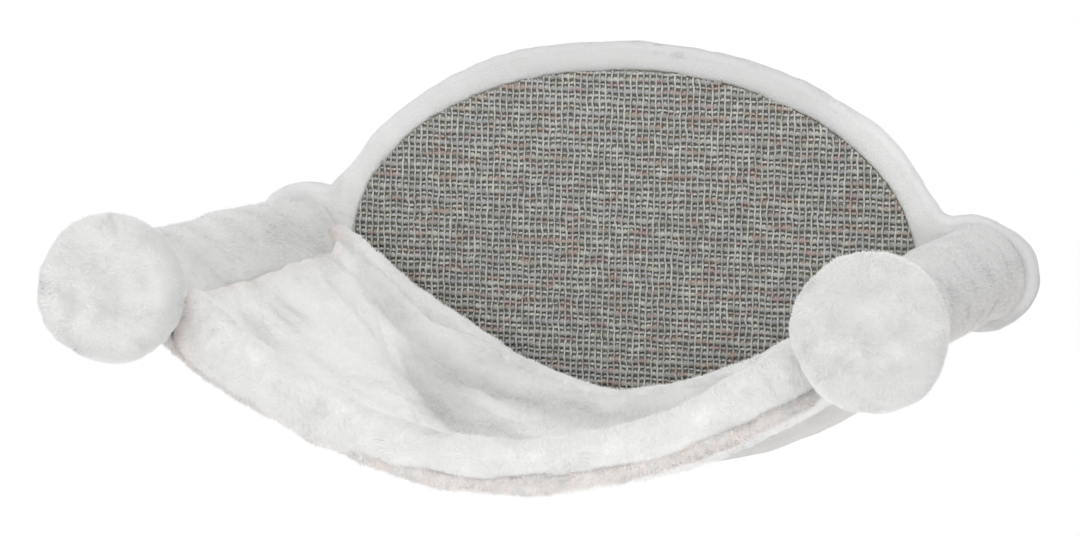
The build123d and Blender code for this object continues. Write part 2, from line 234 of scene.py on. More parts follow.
def pile(name, grid, normals, look, ring, weight, tint, paintedShades, nap):
    # Short hairs, one slim triangle each, rooted at random by face area and weight. Each lies over
    # to one side, brushed along a field that wanders over the cloth. It is lit as the cloth is, in
    # tufts tipped this way or that, and more from the front where the nap stands up. Strays stand
    # off the cloth and are lit as they lie.
    rng = np.random.default_rng(look["seed"])
    rows, columns = grid.shape[:2]
    faces = gridFaces(rows, columns, ring)
    places, ups = grid.reshape(-1, 3), normals.reshape(-1, 3)
    corner = places[faces]
    area = np.linalg.norm(np.cross(corner[:, 2] - corner[:, 0], corner[:, 3] - corner[:, 1]), axis=1) / 2
    share = area * perPoint(weight, grid)[faces].mean(1)
    face = rng.choice(len(faces), look["count"], p=share / share.sum())
    u, v = rng.random((2, look["count"], 1))
    blend = ((1 - u) * (1 - v), u * (1 - v), u * v, (1 - u) * v)
    root = sum(part * places[faces[face, k]] for k, part in enumerate(blend))
    up = unit(sum(part * ups[faces[face, k]] for k, part in enumerate(blend)))
    field = np.stack([soft(root, look["swirl"], look["seed"] + k) for k in (1, 2, 3)], -1)
    field = look["wander"] * field + np.array(look["comb"]) + rng.normal(0, look["mess"], field.shape)
    flow = unit(field - up * (field * up).sum(1, keepdims=True))
    lean = look["lean"] + look["leanRipple"] * soft(root, look["tuft"], look["seed"] + 4)
    lean = lean + rng.normal(0, look["leanSpread"], len(root))
    stray = rng.random(len(root)) < look["stray"]
    lean = np.where(stray, lean - rng.uniform(*look["strayTilt"], len(root)), lean)
    lean = np.clip(lean, *look["leanLimits"])[:, None]
    way = up * np.cos(lean) + flow * np.sin(lean)
    length = look["length"] * (1 + look["lengthRipple"] * soft(root, 2 * look["tuft"], look["seed"] + 5))
    length = length * rng.uniform(*look["lengthSpread"], len(root)) * np.where(stray, look["strayLength"], 1)
    across = unit(np.cross(way, up))
    twist = rng.normal(0, look["twist"], (len(root), 1))
    across = across * np.cos(twist) + np.cross(way, across) * np.sin(twist)
    own = np.cross(across, way)
    width = look["width"] * np.where(stray, look["strayWidth"], rng.uniform(*look["widthSpread"], len(root)))
    across = across * width[:, None] / 2
    hairs = np.stack([root - across, root + across, root + way * length[:, None]], 1)
    hairs[..., 1] = np.minimum(hairs[..., 1], -look["wallGap"])        # none goes into the wall
    row, column = np.divmod(face, columns)
    spots = mapSpots(row + v[:, 0], column + u[:, 0], grid)[:, None]
    spots = np.clip(spots + np.array([[-0.0015, -0.0012], [0.0015, -0.0012], [0, 0.0018]]), 0, 1)
    tipped = np.stack([soft(root, look["tuft"], look["seed"] + 10 + k, 20) for k in (1, 2, 3)], -1)
    # the painted warm shade, painted shade and nap of the cloth at each hair's root
    warmShade, paintedShade, lifted = [
        sum(part[:, 0] * perPoint(values, grid)[faces[face, k]] for k, part in enumerate(blend))
        for values in (tint, paintedShades, nap)]
    lit = up + look["glint"] * own + look["ruffle"] * tipped + lifted[:, None] * np.array(look["risen"])
    lit = unit(np.where(stray[:, None], own + look["strayRise"] * up, lit))[:, None].repeat(3, 1)
    tone = rng.random(len(root))
    piece = newPiece(name, hairs, (), np.arange(3 * len(root)), spots)
    addValues(piece, "custom_normal", lit, "FLOAT_VECTOR", "vector")
    addValues(piece, "tip", np.tile([0, 0, 1], len(root)))
    for label, values in (("warmShade", warmShade), ("paintedShade", paintedShade), ("tone", tone)):
        addValues(piece, label, values.repeat(3))
    print(name, len(root), "hairs")
    return piece


# Materials

class Value:
    # a socket. An expression on it adds its Math nodes
    def __init__(self, owner, socket):
        self.owner, self.socket = owner, socket

    def maths(self, operation, *parts):
        return self.owner.node("Math", enumerate(parts), operation=operation)

    def __add__(self, other):
        return self.maths("ADD", self, other)

    def __radd__(self, other):
        return self.maths("ADD", other, self)

    def __sub__(self, other):
        return self.maths("SUBTRACT", self, other)

    def __rsub__(self, other):
        return self.maths("SUBTRACT", other, self)

    def __mul__(self, other):
        return self.maths("MULTIPLY", self, other)

    def __rmul__(self, other):
        return self.maths("MULTIPLY", other, self)


class NodeTree:
    # the nodes of a material or of the world, and ways to add to them
    def __init__(self, tree):
        self.tree = tree

    def node(self, kind, inputs=(), output=0, **settings):
        made = self.tree.nodes.new("ShaderNode" + kind)
        for name, value in settings.items():
            setattr(made, name, value)
        for name, value in dict(inputs).items():
            self.plug(made.inputs[name], value)
        return Value(self, made.outputs[output])

    def plug(self, socket, value):
        # a colour is given as three numbers
        if isinstance(value, Value):
            self.tree.links.new(value.socket, socket)
        else:
            socket.default_value = (*value, 1) if socket.type == "RGBA" else value

    def seenDirectly(self):
        # 1 for what the camera sees, in gloss and through glass too, 0 for what lights the object
        seen = self.node("LightPath", output="Is Camera Ray")
        rays = seen.socket.node.outputs
        return seen + Value(self, rays["Is Glossy Ray"]) + Value(self, rays["Is Transmission Ray"])


class Finish(NodeTree):
    # a material with one Principled shader, and ways to feed it
    def __init__(self, name, **plain):
        self.material = bpy.data.materials.new(name)
        self.material.use_nodes = True
        super().__init__(self.material.node_tree)
        self.shader = self.tree.nodes["Principled BSDF"]
        self.feed(**plain)
        self.object = self.node("TexCoord", output="Object")

    def noise(self, scale, detail=3.0, roughness=0.5, where=None):
        # scale is the length of one bump, in metres
        return self.node("TexNoise", {"Vector": where or self.object, "Scale": 1 / scale, "Detail": detail,
                                      "Roughness": roughness})

    def stretched(self, scale):
        # places on the piece with each of their directions scaled
        return self.node("Mapping", {"Vector": self.object, "Scale": scale})

    def value(self, name):
        return self.node("Attribute", attribute_name=name, output="Fac")

    def between(self, factor, low, high):
        # the two colours mixed by a factor from 0 to 1
        return self.node("Mix", {0: factor, 6: low, 7: high}, output=2, data_type="RGBA")

    def within(self, value, low, high):
        # 0 below low, 1 above high
        return self.node("MapRange", {"Value": value, "From Min": low, "From Max": high})

    def bump(self, height, distance):
        return self.node("Bump", {"Height": height, "Distance": distance})

    def feed(self, **sockets):
        for name, value in sockets.items():
            self.plug(self.shader.inputs[name.replace("_", " ")], value)
        return self.material


def wear(piece, material):
    piece.data.materials.clear()
    piece.data.materials.append(material)


# grey is the colour of painted shade, cream that of painted warm shade, and root that of painted shade at
# hair roots, up to rootShade
plush = dict(white=(0.94, 0.94, 0.935), cloud=(0.89, 0.89, 0.89), cream=(0.83, 0.765, 0.74),
             grey=(0.68, 0.68, 0.68), root=(0.74, 0.73, 0.71), rootShade=0.4, cloudSize=26 * mm,
             tuftSize=5 * mm, fluffSize=1.4 * mm, relief=0.8 * mm)


def plushFinish(name, hairs):
    # white plush: slow clouds of tone and small tufts, painted shade and painted warm shade where the piece
    # asks for it, with painted shade at the roots of hairs and a fluffy relief on cloth
    finish = Finish(name, Sheen_Weight=0.15, Sheen_Roughness=0.7, Specular_IOR_Level=0.15)
    clouds, tufts = [finish.within(finish.noise(plush[size], 3.0, 0.6), 0.3, 0.7)
                     for size in ("cloudSize", "tuftSize")]
    colour = finish.between(0.6 * clouds + 0.4 * tufts, plush["cloud"], plush["white"])
    # painted shade: grey mixed in as far as the piece asks, then cream as painted warm shade
    colour = finish.between(finish.value("paintedShade"), colour, plush["grey"])
    # painted warm shade: cream mixed in where creases and undersides lie in shade
    colour = finish.between(finish.value("warmShade"), colour, plush["cream"])
    if hairs:
        # painted shade at the roots of the hairs, where the pile shades itself
        paintedRootShade = (1 - finish.value("tip")) * finish.value("tone") * plush["rootShade"]
        colour = finish.between(paintedRootShade, colour, plush["root"])
    else:
        finish.feed(Normal=finish.bump(finish.noise(plush["fluffSize"], 4.0, 0.7), plush["relief"]))
    return finish.feed(Base_Color=colour, Roughness=0.85 + 0.1 * clouds)


plushCloth = plushFinish("plush cloth", False)
plushPile = plushFinish("plush pile", True)
print("plush finished")


def dressed(name, replaced, grid, normals, look, weight, body="wall_body", ring=False, tint=0,
            paintedShades=0, nap=0):
    # a padded piece of plush: the cloth, which stands for the imported nodes, and its pile, plain but
    # for its look. Weight says where the pile is thicker, tint and the argument after it where painted
    # warm shade and painted shade lie on cloth and pile, and nap where the pile is more upright. Each
    # is one number, or one for each point of the grid
    cloth = skin(name, grid, ring)
    for label, values in (("warmShade", tint), ("paintedShade", paintedShades)):
        values = perPoint(values, grid)
        ends = () if ring else (values[0], values[-grid.shape[1]])
        addValues(cloth, label, np.append(values, ends))
    wear(cloth, plushCloth)
    hairs = pile(name + "Pile", grid, normals, dict(plain, **look), ring, weight, tint, paintedShades, nap)
    wear(hairs, plushPile)
    for piece in (cloth, hairs):
        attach(piece, body)
    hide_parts(*replaced)


# End discs

# A side's bulges are given as direction in degrees, height in mm and spread in degrees. The three
# after seed are the painted shade on its pile: how much in all, how much more on the right of its
# rim, the side turned from the light, and how much less on its left
disc = dict(radius=44.2 * mm, back=300.6 * mm, front=327.8 * mm, rows=84, columns=120, squareness=0.55,
            depthSquareness=0.72, uneven=0.006, lumps=((0.8 * mm, 45 * mm), (0.2 * mm, 16 * mm)),
            pile=dict(count=90000, stray=0.35, mess=0.5, tuft=6 * mm, swirl=26 * mm))
discSides = dict(
    left=dict(seed=100, shadePaint=0.28, shadePaintRight=0.6, lessShadeLeft=0.2,
              bulges=((165, 5.2, 50), (212, 3.0, 24), (240, -1.0, 18), (0, -1.0, 50), (310, -2.0, 22))),
    right=dict(seed=200, shadePaint=0.46, shadePaintRight=0, lessShadeLeft=0,
               bulges=((320, 2.6, 30), (250, 1.0, 50), (60, 1.0, 50))))

for side, sign in sides.items():
    own = discSides[side]
    seed = own["seed"]
    # from the middle of the back to the middle of the front, with more rows near both: a
    # superellipse, squarer in its radius than in its depth. The outline is a little uneven
    share = np.linspace(-0.99, 0.99, disc["rows"])[:, None]
    share = 0.5 + 0.5 * np.sign(share) * (1 - (1 - np.abs(share)) ** 1.8)
    turn = fullTurn(disc["columns"])
    middle, half = (disc["back"] + disc["front"]) / 2, (disc["front"] - disc["back"]) / 2
    radius = disc["radius"] * np.sin(np.pi * share) ** disc["squareness"]
    distance = middle + half * bent(-np.cos(np.pi * share), disc["depthSquareness"])
    uneven = disc["uneven"] * np.sin(2 * turn + seed), disc["uneven"] * np.sin(3 * turn + 2.1 * seed)
    radius = radius * (1 + uneven[0] + uneven[1])
    for direction, height, spread in own["bulges"]:
        off = (np.degrees(turn) - direction + 180) % 360 - 180
        radius = radius + height * mm * bell(off, spread) * np.sin(np.pi * share)
    grid = aroundPost(sign, radius, turn, distance)
    normals = gridNormals(grid)
    grid = puffed(grid, normals, disc["lumps"], seed)
    # the side that faces the post has next to no pile
    bare = np.maximum(ramp(-grid[..., 1] - disc["back"], 3 * mm, 8 * mm), 0.02)
    # painted shade: more on the right of the rim, where the light misses it, and less on the left
    rimRightShade = ramp(radius, 33 * mm, 7 * mm) * np.clip(1.3 * np.cos(turn), 0, 1)
    shadePaint = own["shadePaint"] + own["shadePaintRight"] * rimRightShade
    shadePaint = shadePaint - own["lessShadeLeft"] * np.clip(-1.6 * np.cos(turn) - 0.6, 0, 1)
    dressed(side + "Disc", [side + "_disc_cover"], grid, normals,
            dict(disc["pile"], seed=seed, comb=(0.2 * sign, 1.5, -0.3)), weight=bare,
            body=side + "_disc", paintedShades=shadePaint)
print("discs done")

# Sleeves round the posts

# The nose is the ridge that the seam makes on the inner side. Near the wall the cloth bunches in
# rings, and it flares a little against the ear. A side takes painted shade, more below, and painted
# warm shade below, where shade falls under the post, as it says
sleeve = dict(radius=29.0 * mm, bore=25.6 * mm, noseRadius=2.8 * mm, noseReach=4.5 * mm,
              noseLevel=-5 * mm, gap=1 * mm, endRound=4 * mm, rows=90, columns=120, inner=5,
              ringHeight=0.3 * mm, ringStep=17 * mm, ringMiddle=55 * mm, ringSpread=30 * mm,
              flare=1.2 * mm, flareSpread=8 * mm, lumps=((1.1 * mm, 60 * mm), (0.3 * mm, 26 * mm)),
              pile=dict(count=100000, comb=(0, 1.6, -0.3)))
sleeveSides = dict(left=dict(seed=300, shadePaint=0.6, shadePaintBelow=0.3, warmShadeBelow=0),
                   right=dict(seed=400, shadePaint=1.0, shadePaintBelow=0, warmShadeBelow=0.35))


def quarterArc(share):
    # from 0 to 1 as a quarter circle: steep at first, level at the end
    return np.sqrt(1 - (1 - share) ** 2)


def sleeveReach(turn, sign):
    # distance from the post axis to the sleeve: a circle that runs out in two tangents to a small nose
    radius, small, noseZ = sleeve["radius"], sleeve["noseRadius"], sleeve["noseLevel"]
    noseX = -sign * (postOffset - seamOffset - sleeve["noseReach"])
    away, toNose = math.hypot(noseX, noseZ), math.atan2(noseZ, noseX)
    fan = math.acos((radius - small) / away)
    off = np.abs((turn - toNose + np.pi) % (2 * np.pi) - np.pi)
    tangent = radius / np.cos(np.minimum(np.abs(off - fan), 1.2))
    nose = math.atan2(small * math.sin(fan), away + small * math.cos(fan))
    tip = away * np.cos(off) + np.sqrt(np.maximum(small**2 - (away * np.sin(off)) ** 2, 0))
    return np.where(off > fan, radius, np.where(off > nose, tangent, tip))


for side, sign in sides.items():
    own = sleeveSides[side]
    turn = fullTurn(sleeve["columns"])
    start, end, rim = sleeveBack + sleeve["gap"], sleeveFront - sleeve["gap"], sleeve["endRound"]
    closer = rim * np.array([0, 0.08, 0.3, 0.6])
    outside = np.concatenate([start + closer, np.linspace(start + rim, end - rim, sleeve["rows"]),
                              end - closer[::-1]])[:, None]
    near = np.clip(np.minimum(outside - start, end - outside) / rim, 0, 1)
    reach = sleeveReach(turn, sign) - rim * 0.6 * (1 - quarterArc(near))
    rings = bell(outside - sleeve["ringMiddle"], sleeve["ringSpread"])
    rings = rings * np.sin(outside * 2 * np.pi / sleeve["ringStep"] + 0.5 * turn)
    reach = reach + sleeve["ringHeight"] * rings
    reach = reach + sleeve["flare"] * bell(outside - start, sleeve["flareSpread"])
    reach = np.vstack([reach, np.full((sleeve["inner"], turn.size), sleeve["bore"])])
    distance = np.vstack([outside, np.linspace(end, start, sleeve["inner"])[:, None]])
    grid = aroundPost(sign, reach, turn, distance)
    normals = gridNormals(grid, ring=True)
    outer = np.arange(len(grid))[:, None] < len(outside)
    grid = np.where(outer[..., None], puffed(grid, normals, sleeve["lumps"], own["seed"]), grid)
    # painted shade and painted warm shade on the pile, growing towards the underside
    below = -reach * np.sin(turn)
    dressed(side + "Sleeve", [side + "_post_sleeve"], grid, normals,
            dict(sleeve["pile"], seed=own["seed"]), ring=True, weight=outer,
            paintedShades=own["shadePaint"] + own["shadePaintBelow"] * np.clip(below / (20 * mm), 0, 1),
            tint=own["warmShadeBelow"] * outer * np.clip(0.4 + below / (30 * mm), 0, 1))
print("sleeves done")

# Hammock

# Sags are how far it hangs below the posts at its rear edge, middle and front edge
hammock = dict(back=24 * mm, front=298 * mm, edge=-5 * mm, rearSag=90 * mm, middleSag=99 * mm,
               frontSag=87 * mm, power=1.7, underEdge=-29 * mm, underOffset=222 * mm, underPower=1.93,
               underRear=112 * mm, underMiddle=123.5 * mm, underFront=112.4 * mm)


def hanging(share, edge, low, power):
    # height of hanging cloth: at the edge where share is 1, low below the posts where it is 0
    return edge - (low + edge) * (1 - np.minimum(np.abs(share), 1) ** power)


def swing(distance, rear, middle, front):
    # from rear over middle to front on one parabola
    along = (distance - hammock["back"]) / (hammock["front"] - hammock["back"])
    return rear + (front - rear) * along + (middle - (rear + front) / 2) * 4 * along * (1 - along)


def leftRise(x):
    # the hammock's rear edge hangs higher on its left, as two soft bumps along x
    return (5.5 * bell(x / mm + 105, 38) + 9 * bell(x / mm + 180, 36)) * mm


def leftShare(x, start=-40 * mm):
    # 0 on the right, rising smoothly to 1 over 70 mm to the left of start
    return eased((start - x) / (70 * mm))


def underLevel(x, distance):
    low = swing(distance, hammock["underRear"], hammock["underMiddle"], hammock["underFront"])
    level = hanging(x / hammock["underOffset"], hammock["underEdge"], low, hammock["underPower"])
    # the hem is tucked up a little to the right of the middle, and the belly behind it hangs lower
    fore = ramp(distance, 200 * mm, 80 * mm)
    level = level + 1.5 * mm * fore * bell(x - 65 * mm, 55 * mm)
    return level - 1.6 * mm * (1 - fore) * bell(x - 140 * mm, 45 * mm)


# Folds of the top panel: start and end in percent across and along, and in mm its height and its
# half width to the left and to the right
folds = (
    (-100, 6, -74, 13.5, -5.5, 9, 10),
    (-74, 13, -44, 20, -6.0, 9, 12),
    (-99, 11, -68, 27, 4.0, 9, 9),
    (-98, 22, -60, 39, -4.5, 12, 12),
    (-79, 36, -62, 49, 5.0, 30, 9),
    (-62, 49, -39, 74, 5.5, 36, 8),
    (-63, 39, -33, 70, -4.0, 13, 30),
    (-95, 62, -84, 64, -2.0, 7, 7),
    (-46, 21, -30, 27, -3.5, 9, 9),
    (-38, 30, -22, 24, 3.0, 8, 10),
    (-28, 36, -4, 26, -3.0, 8, 10),
    (-10, 44, 20, 36, -2.5, 7, 9),
    (-6, 55, 24, 46, 2.0, 7, 9),
    (97, 12, 44, 26, -4.5, 12, 12),
    (98, 24, 46, 50, 4.0, 12, 12),
    (94, 40, 34, 84, -4.0, 13, 13),
    (92, 60, 58, 90, 3.5, 13, 13),
)
# Where its nap stands up to the light, above 0, or where its pile is painted darker as the shade in
# valleys and the middle, below 0, given as the folds are
napAndShadeLines = (
    (-74, 34, -39, 70, 1.1, 38, 4),
    (-98, 11, -66, 28, 0.4, 9, 9),
    (-96, 44, -62, 62, 0.25, 12, 16),
    (-95, 24, -60, 39, -0.3, 8, 8),
    (-97, 40, -82, 90, -0.2, 16, 16),
    (-90, 8, -40, 20, -0.5, 8, 10),
    (-56, 40, -20, 72, -0.9, 6, 42),
    (-40, 22, 25, 22, -0.72, 18, 24),
    (-36, 31, -20, 30, 0.3, 8, 8),
)


def lines(table, x, distance):
    # each line is a bell-shaped ridge or valley along a straight run, fading past its ends
    total = 0 * x
    place = placed(x, distance - hammock["back"])
    size = np.array([seamOffset, hammock["front"] - hammock["back"]])
    for *way, height, leftWidth, rightWidth in table:
        first, last = np.array(way).reshape(2, 2) / 100
        start, run = first * size, (last - first) * size
        share = ((place - start) @ run) / (run @ run)
        inside = np.clip(share, 0, 1)
        away = place - start - inside[..., None] * run
        rightward = run[1] * away[..., 0] - run[0] * away[..., 1] > 0
        reach = np.where(rightward, rightWidth, leftWidth) * mm + 22 * mm * np.abs(share - inside)
        total = total + height * bell((away**2).sum(-1) ** 0.5, reach)
    return total


def ends(x, radius):
    # 1 along the middle of a row of stations, falling to almost 0 at both ends as a quarter circle
    return 0.04 + 0.96 * quarterArc(ramp(x.max() - np.abs(x), 0, radius))


def layer(cloth, middleLevel):
    # a flat layer of cloth as loops round its edge, one at each x: along its lower side to the
    # back, round the back rim, along its upper side and round the front rim. Offset is -1 on its
    # lower side and 1 on its upper side
    below, rim, above = cloth["counts"]
    back, front = cloth["back"], cloth["front"]
    x = np.linspace(-1, 1, cloth["stations"]) * cloth["reach"]
    half = cloth["half"] * ends(x, cloth["close"])
    radius = half.max()
    arc = np.linspace(0, np.pi, rim + 2)[1:-1]
    distance = np.concatenate([np.linspace(front - radius, back + radius, below),
                               back + radius - radius * np.sin(arc),
                               np.linspace(back + radius, front - radius, above),
                               front - radius + radius * np.sin(arc)])
    offset = np.concatenate([-np.ones(below), -np.cos(arc), np.ones(above), np.cos(arc)])
    x, distance = np.broadcast_arrays(x[:, None], distance[None, :])
    return placed(x, -distance, middleLevel(x, distance) + half[:, None] * offset), offset


top = dict(back=36 * mm, front=280 * mm, half=4 * mm, drop=6.5 * mm, reach=seamOffset + 5 * mm,
           close=4 * mm, stations=190, counts=(24, 5, 120), seamRise=3.5 * mm,
           lumps=((0.9 * mm, 48 * mm), (0.25 * mm, 22 * mm)), seed=500,
           pile=dict(seed=510, count=150000, comb=(0.1, 1.8, -0.2)))


def topMiddle(x, distance):
    # it rises to the band at its rear edge, over a strip that widens to the middle, and to the seams
    low = swing(distance, hammock["rearSag"], hammock["middleSag"], hammock["frontSag"])
    across = np.clip(np.abs(x) / seamOffset, 0, 1)
    strip = (9 + 20 * (1 - across)) * mm
    # the seam along the sleeve holds the cloth flat
    free = 1 - bell(seamOffset - np.abs(x), 15 * mm)
    rise = (4.9 + 3 * across**2) * mm + leftRise(x) * (0.25 + 0.75 * free)
    rise = rise * bell(distance - top["back"], strip)
    rise = rise + top["seamRise"] * bell(seamOffset - np.abs(x), 7 * mm)
    level = hanging(x / seamOffset, hammock["edge"], low, hammock["power"]) - top["drop"]
    return level + rise + lines(folds, x, distance) * mm * free


grid, offset = layer(top, topMiddle)
grid = puffed(grid, gridNormals(grid), top["lumps"], top["seed"])
x, distance = grid[..., 0], -grid[..., 1]
nap = lines(napAndShadeLines, x, distance)
# painted warm shade in the crease along the seams, and painted shade where the nap lines fall below 0
seamWarmShade = 0.5 * bell(seamOffset - np.abs(x) - 1 * mm, 3 * mm)
dressed("hammockTop", ["hammock_top_panel", "hammock_padding"], grid, gridNormals(grid),
        top["pile"], weight=np.clip(offset, 0, 1), tint=seamWarmShade,
        paintedShades=1.1 * np.clip(-nap, 0, 0.9), nap=0.1 + np.where(nap > 0, nap, 0.4 * nap))
print("top panel done")

# The underside. Its front edge shows as a ragged ridge under the hem, painted darker and warmer as
# the shade there, and painted warm shade in the crease
under = dict(back=25.5 * mm, front=296.5 * mm, half=4.3 * mm, lift=5.5 * mm, reach=hammock["underOffset"],
             close=10 * mm, stations=200, counts=(96, 8, 20), tuck=4 * mm, crease=285 * mm,
             lumps=((0.9 * mm, 50 * mm), (0.5 * mm, 15 * mm)), seed=600,
             pile=dict(seed=610, count=140000, comb=(0, 1.0, -0.4), length=4 * mm, width=0.6 * mm,
                       stray=0.5, tuft=3 * mm, ruffle=0.35, mess=0.7))


def underMiddle(x, distance):
    return underLevel(x, distance) + under["lift"]


grid, offset = layer(under, underMiddle)
# on the left its front edge is drawn in under the hem
grid[..., 1] += under["tuck"] * leftShare(grid[..., 0]) * ramp(-grid[..., 1], 270 * mm, 26 * mm)
grid = puffed(grid, gridNormals(grid), under["lumps"], under["seed"])
distance = -grid[..., 1]
ridge = ramp(distance, under["front"] - 9 * mm, 6 * mm)
crease = bell(distance - under["crease"], 2.5 * mm) * np.clip(-offset, 0, 1)
# painted shade: a little all over and much on the ridge; painted warm shade on the ridge and in the crease
dressed("hammockUnder", ["hammock_under_panel"], grid, gridNormals(grid), under["pile"],
        weight=np.clip(-offset, 0, 1) + 4 * ridge,
        paintedShades=np.clip(0.2 + ridge * (0.7 + 0.35 * soft(grid, 7 * mm, 645)), 0, 1),
        tint=np.clip(ridge * (0.5 + 0.3 * soft(grid, 9 * mm, 640)) + 0.6 * crease, 0, 1))
print("underside done")

# The stuffed bands along its edges. Rise is how much a band follows the higher left of the rear
# edge, deeper how much lower it hangs at its ends, and its pile's painted shade is given too
bands = dict(
    hammockRear=dict(node="hammock_rear_band", middle=34 * mm, half=8 * mm, edge=6 * mm, sag=85 * mm,
                     power=1.6, reach=210 * mm, close=14 * mm, foot=8.5 * mm, rise=1, deeper=0,
                     stations=180, columns=44, hairs=100000, seed=700, shadePaint=0, nap=0.8),
    hammockFront=dict(node="hammock_front_band", middle=285 * mm, half=11.3 * mm, edge=-0.5 * mm,
                      sag=81 * mm, power=1.9, reach=208 * mm, close=15 * mm, foot=6.5 * mm, rise=0,
                      deeper=4.8 * mm, stations=200, columns=64, hairs=120000, seed=800, shadePaint=0.33, nap=0))
bandLumps, bandPower = ((0.7 * mm, 50 * mm), (0.2 * mm, 18 * mm)), 0.8
for name, band in bands.items():
    # a superellipse between foot and crest, carried from sleeve to sleeve
    x = np.linspace(-1, 1, band["stations"])[:, None] * band["reach"]
    turn = 2 * np.pi - fullTurn(band["columns"])
    crest = hanging(x / seamOffset, band["edge"], band["sag"], band["power"]) - 2.2 * mm
    crest = crest + band["rise"] * leftRise(x)
    foot = underLevel(x, band["middle"]) + band["foot"]
    # at both ends it hangs down over the ridge below it
    foot = foot - band["deeper"] * (leftShare(x) + 0.7 * leftShare(-x, -50 * mm))
    half = np.maximum((crest - foot) / 2, 3 * mm)
    close = ends(x, band["close"])
    sideways, upwards = bent(np.cos(turn), bandPower), bent(np.sin(turn), bandPower)
    distance = band["middle"] + band["half"] * sideways * close
    grid = placed(x, -distance, foot + half + half * upwards * close)
    grid = puffed(grid, gridNormals(grid), bandLumps, band["seed"])
    seam = np.clip(1 - (upwards + 1) / 0.5, 0, 1) * (sideways > -0.5)
    # painted warm shade along the lower seam, under the band, and in the shaded gap beside the left disc
    seam = seam * (0.7 + 0.4 * soft(grid, 30 * mm, band["seed"] + 3)) + 1.7 * bell(x + 205 * mm, 13 * mm)
    dressed(name, [band["node"]], grid, gridNormals(grid),
            dict(seed=band["seed"] + 10, count=band["hairs"], stray=0.32, length=3.8 * mm),
            weight=np.clip((upwards + 1) * 2, 0.05, 1), tint=np.clip(0.6 * seam, 0, 1),
            paintedShades=band["shadePaint"], nap=band["nap"])
print("bands done")

# Board cover

# Crown is how far its border bulges, and dip how far that drops at the mat
cover = dict(halfWidth=211 * mm, halfHeight=140 * mm, ear=37.5 * mm, neck=9 * mm, sisalWidth=193 * mm,
             sisalHeight=122.5 * mm, front=17.2 * mm, rim=6 * mm, back=0.8 * mm, inset=0.9 * mm,
             crown=0.9 * mm, dip=1.5 * mm, wallGap=0.2 * mm, columns=520, seed=900,
             lumps=((0.6 * mm, 45 * mm), (0.2 * mm, 18 * mm)), pile=dict(seed=910, count=150000, stray=0.24))

# Places where the cover is fuller than its pattern: x, z, how much, and how far it spreads, in mm
fullness = ((-206, 37, 6.5, 13), (207, 36, 2.5, 13), (-155, 95, -0.4, 30), (-95, 128, 2.6, 50),
            (-20, 140, 0.8, 50), (175, 82, 1.8, 50), (207, -44, 3.5, 16), (240, -36, 2.5, 22),
            (-236, -36, 1.0, 22), (-258, 26, -1.6, 14), (252, 30, -3.0, 18), (268, -14, 2.0, 16))


def ellipsePoint(turn, width, height):
    return placed(width * np.cos(turn), height * np.sin(turn))


def neckCentre(width, height, ear, neck):
    # the neck's arc touches the ear and the oval from outside: its centre is found along a circle
    # round the ear's centre by its distance from the oval
    turns = np.linspace(0.4 * np.pi, 0.9 * np.pi, 800)
    centres = np.array([postOffset, 0]) + ellipsePoint(turns, ear + neck, ear + neck)
    oval = ellipsePoint(np.linspace(0, np.pi / 2, 1500), width, height)
    gaps = np.linalg.norm(centres[:, None] - oval[None], axis=-1)
    inside = ((centres / [width, height]) ** 2).sum(1) < 1
    best = (np.abs(gaps.min(1) - neck) + inside).argmin()
    return centres[best], turns[best], oval[gaps[best].argmin()]


def coverOutline(count):
    # the outline, evenly spaced: quarter of the ear, the neck, then the oval, mirrored into all four
    inset = cover["inset"]
    width, height = cover["halfWidth"] - inset, cover["halfHeight"] - inset
    ear, neck = cover["ear"] - inset, cover["neck"] + inset
    centre, earTurn, touch = neckCentre(width, height, ear, neck)
    earPart = np.array([postOffset, 0]) + ellipsePoint(np.linspace(0, earTurn, 60), ear, ear)
    end = math.atan2(touch[1] - centre[1], touch[0] - centre[0])
    neckPart = centre + ellipsePoint(np.linspace(earTurn + np.pi, end % (2 * np.pi), 20), neck, neck)
    first = math.atan2(touch[1] / height, touch[0] / width)
    ovalPart = ellipsePoint(np.linspace(first, np.pi / 2, 160), width, height)
    quarter = np.vstack([earPart, neckPart[1:], ovalPart[1:]])
    half = np.vstack([quarter, (quarter * [-1, 1])[-2::-1]])
    whole = np.vstack([half, (half * [1, -1])[-2:0:-1]])
    ring = np.vstack([whole, whole[:1]])
    reach = np.concatenate([[0], np.cumsum(np.linalg.norm(np.diff(ring, axis=0), axis=1))])
    even = np.linspace(0, reach[-1], count, endpoint=False)
    return placed(*(np.interp(even, reach, ring[:, k]) for k in (0, 1)))


outline = coverOutline(cover["columns"])
step = unit(np.roll(outline, -1, 0) - np.roll(outline, 1, 0))
inwards = placed(-step[:, 1], step[:, 0])
for x, z, height, reach in fullness:
    away = np.linalg.norm(outline - np.array([x, z]) * mm, axis=1, keepdims=True)
    outline = outline - inwards * height * mm * bell(away, reach * mm)
# each point of the outline looks to its own point of the mat's edge, those of an ear more to its middle
flatter = 1 - 0.5 * eased((np.abs(outline[:, 0]) - 200 * mm) / (25 * mm))
turn = np.arctan2(outline[:, 1] * flatter / cover["halfHeight"], outline[:, 0] / cover["halfWidth"])
turn = np.sort(turn % (2 * np.pi))
matEdge = ellipsePoint(turn, cover["sisalWidth"] - 0.8 * mm, cover["sisalHeight"] - 0.8 * mm)

